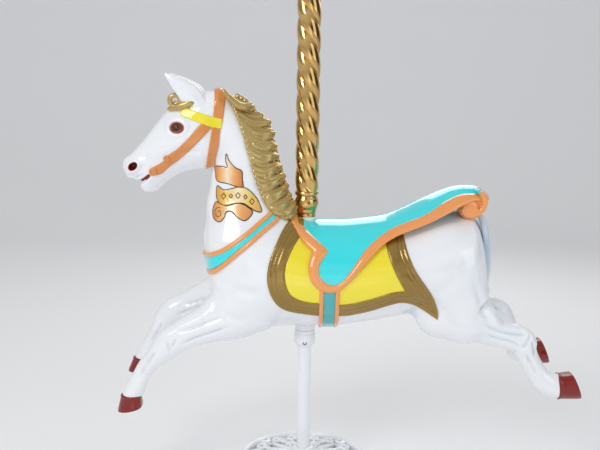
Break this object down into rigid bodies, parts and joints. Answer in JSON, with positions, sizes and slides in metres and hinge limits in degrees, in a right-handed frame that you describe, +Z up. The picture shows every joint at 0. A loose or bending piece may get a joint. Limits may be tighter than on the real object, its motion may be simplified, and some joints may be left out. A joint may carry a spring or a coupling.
{
  "type": "carousel horse ride",
  "caption": "Galloping carousel horse on a telescoping pole with a twisted brass sleeve and a cast scroll base; height, swivel and lock screw move.",
  "frame": {"origin": "On the pole axis at floor level, at the centre of the floor anchor circle.", "axes": "+Z up along the pole; the horse faces -X; its left side is -Y."},
  "size_m": [1.1669, 0.34, 1.364],
  "materials": {
    "gloss_white": "gloss",
    "dark_red": "gloss",
    "eye_brown": "gloss",
    "tooth_white": "gloss",
    "bronze_gold": "metallic",
    "turquoise": "gloss",
    "orange_tan": "gloss",
    "yellow": "gloss",
    "border_gold": "metallic",
    "white_enamel": "gloss",
    "brass": "polished",
    "steel": "machined",
    "plug_aluminium": "machined",
    "nylon": "matt",
    "rubber": "matt",
    "block_wood": "raw"
  },
  "bodies": {
    "stand": {"base_casting": "white_enamel", "base_feet": "rubber", "lower_pole": "white_enamel", "pole_foot_plug": "plug_aluminium", "retaining_washer": "steel", "retaining_bolt": "steel", "hub_grub_screw": "steel", "pole_guide_bush": "nylon"},
    "height_collar": {"height_collar": "white_enamel", "collar_liner": "nylon", "thrust_washer": "nylon"},
    "lock_pad": {"lock_pad": "brass"},
    "lock_screw": {"lock_screw": "steel"},
    "horse": {"back_block": "block_wood", "belly_block": "block_wood", "belly_sleeve": "white_enamel", "bit_rings": "orange_tan", "body_left": "gloss_white", "body_right": "gloss_white", "brass_collar": "brass", "brass_sleeve": "brass", "breast_strap": "turquoise", "breast_strap_trim": "orange_tan", "browband": "yellow", "cantle_scrolls": "orange_tan", "carrying_flange": "steel", "cheek_straps": "orange_tan", "cloth_border": "border_gold", "collar_grub_screw": "steel", "crown_strap": "turquoise", "ear_left": "gloss_white", "ear_right": "gloss_white", "eye_left": "eye_brown", "eye_right": "eye_brown", "flange_bolts": "steel", "forelock": "bronze_gold", "girth": "turquoise", "girth_trim": "orange_tan", "head": "gloss_white", "hoof_fore_left": "dark_red", "hoof_fore_right": "dark_red", "hoof_hind_left": "dark_red", "hoof_hind_right": "dark_red", "leg_fore_left": "gloss_white", "leg_fore_right": "gloss_white", "leg_hind_left": "gloss_white", "leg_hind_right": "gloss_white", "mane": "bronze_gold", "neck": "gloss_white", "neck_scroll": "orange_tan", "pole_finial": "brass", "saddle": "turquoise", "saddle_bush": "nylon", "saddle_cloth": "yellow", "saddle_trim": "orange_tan", "tail": "gloss_white", "teeth": "tooth_white", "top_plug": "plug_aluminium", "upper_pole": "steel"}
  },
  "joints": [
    {"name": "ride_height", "type": "slide", "parent": "stand", "child": "height_collar", "axis": [0, 0, 1], "range_m": [-0.12, 0.15]},
    {"name": "swivel", "type": "hinge", "parent": "height_collar", "child": "horse", "pos_m": [0, 0, 0.359], "axis": [0, 0, 1], "continuous": true},
    {"name": "lock_travel", "type": "slide", "parent": "height_collar", "child": "lock_pad", "axis": [0, -1, 0], "range_m": [0, 0.003]},
    {"name": "lock_turn", "type": "hinge", "parent": "lock_pad", "child": "lock_screw", "pos_m": [0, -0.02, 0.3465], "axis": [0, -1, 0], "range_deg": [0, 721]}
  ],
  "couplings": [
    {"joint": "lock_turn", "follows": "lock_travel", "rad_per_m": 4188.8}
  ]
}
